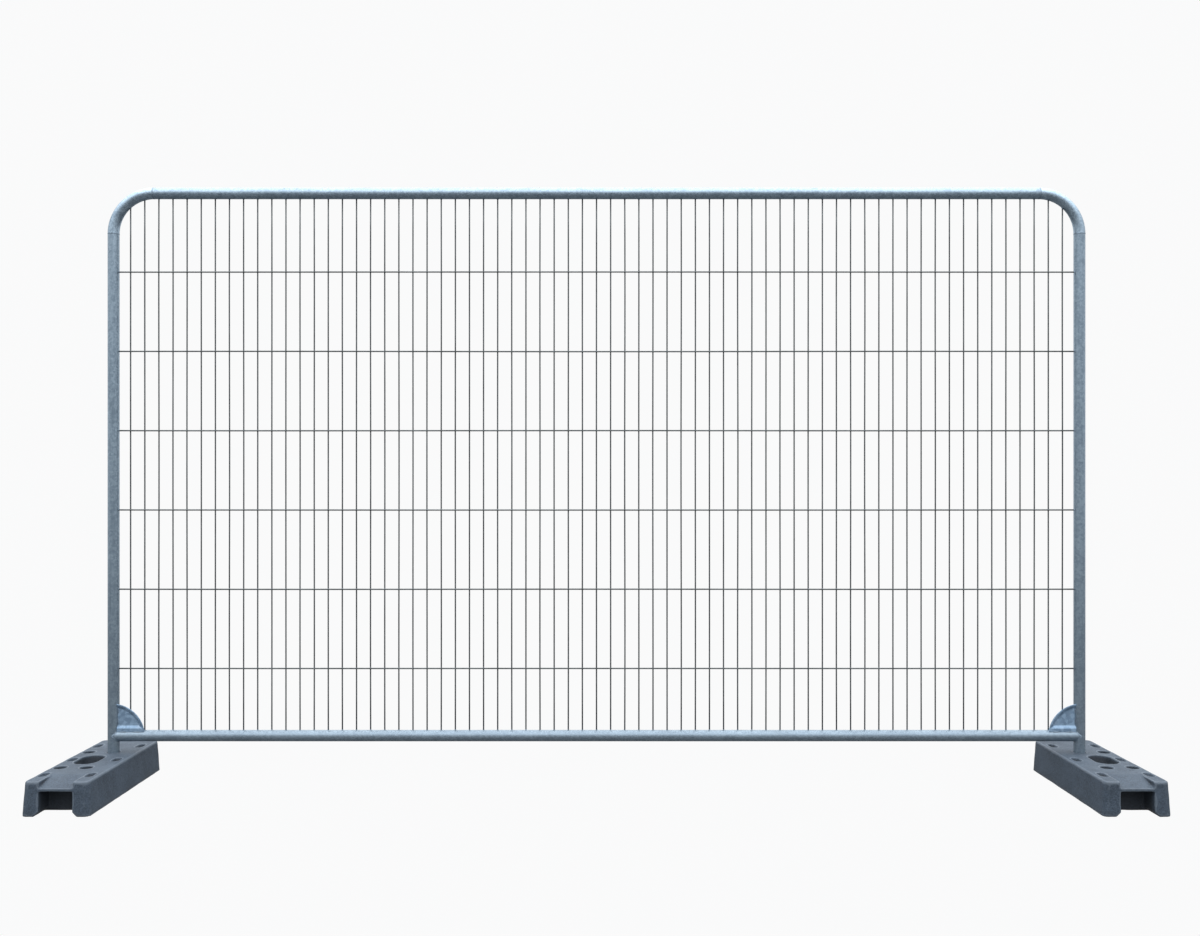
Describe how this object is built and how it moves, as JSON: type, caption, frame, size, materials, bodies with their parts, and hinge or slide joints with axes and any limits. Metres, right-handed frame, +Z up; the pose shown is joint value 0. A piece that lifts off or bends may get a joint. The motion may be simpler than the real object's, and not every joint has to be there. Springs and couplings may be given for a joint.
{
  "type": "temporary fence panel with feet",
  "caption": "Round-topped welded wire fence panel in a galvanised tube frame, its legs standing in two moulded feet that turn round them.",
  "frame": {"origin": "on the ground, half way between the two feet and half way along them", "axes": "+Z up, +X along the panel to the right, +Y to the back; the panel stands 110 mm behind the feet's middle"},
  "size_m": [3.712, 0.616, 2.132],
  "materials": {
    "galvanised_tube": "dull galvanised zinc",
    "galvanised_wire": "dull galvanised zinc",
    "pressed_plate": "dull galvanised zinc",
    "moulded_foot": "matt moulded recycled rubber"
  },
  "bodies": {
    "panel": {"left_post": "galvanised_tube", "right_post": "galvanised_tube", "left_corner_bend": "galvanised_tube", "right_corner_bend": "galvanised_tube", "top_rail": "galvanised_tube", "bottom_rail": "galvanised_tube", "horizontal_wire_1": "galvanised_wire", "horizontal_wire_2": "galvanised_wire", "horizontal_wire_3": "galvanised_wire", "horizontal_wire_4": "galvanised_wire", "horizontal_wire_5": "galvanised_wire", "horizontal_wire_6": "galvanised_wire", "upright_wires": "galvanised_wire", "left_corner_wires": "galvanised_wire", "right_corner_wires": "galvanised_wire", "left_gusset": "pressed_plate", "right_gusset": "pressed_plate"},
    "left_foot": {"left_foot": "moulded_foot"},
    "right_foot": {"right_foot": "moulded_foot"}
  },
  "joints": [
    {"name": "left_foot_swivel", "type": "hinge", "parent": "panel", "child": "left_foot", "pos_m": [-1.73, 0.11, 0.06], "axis": [0, 0, 1], "continuous": true},
    {"name": "right_foot_swivel", "type": "hinge", "parent": "panel", "child": "right_foot", "pos_m": [1.73, 0.11, 0.06], "axis": [0, 0, 1], "continuous": true}
  ]
}
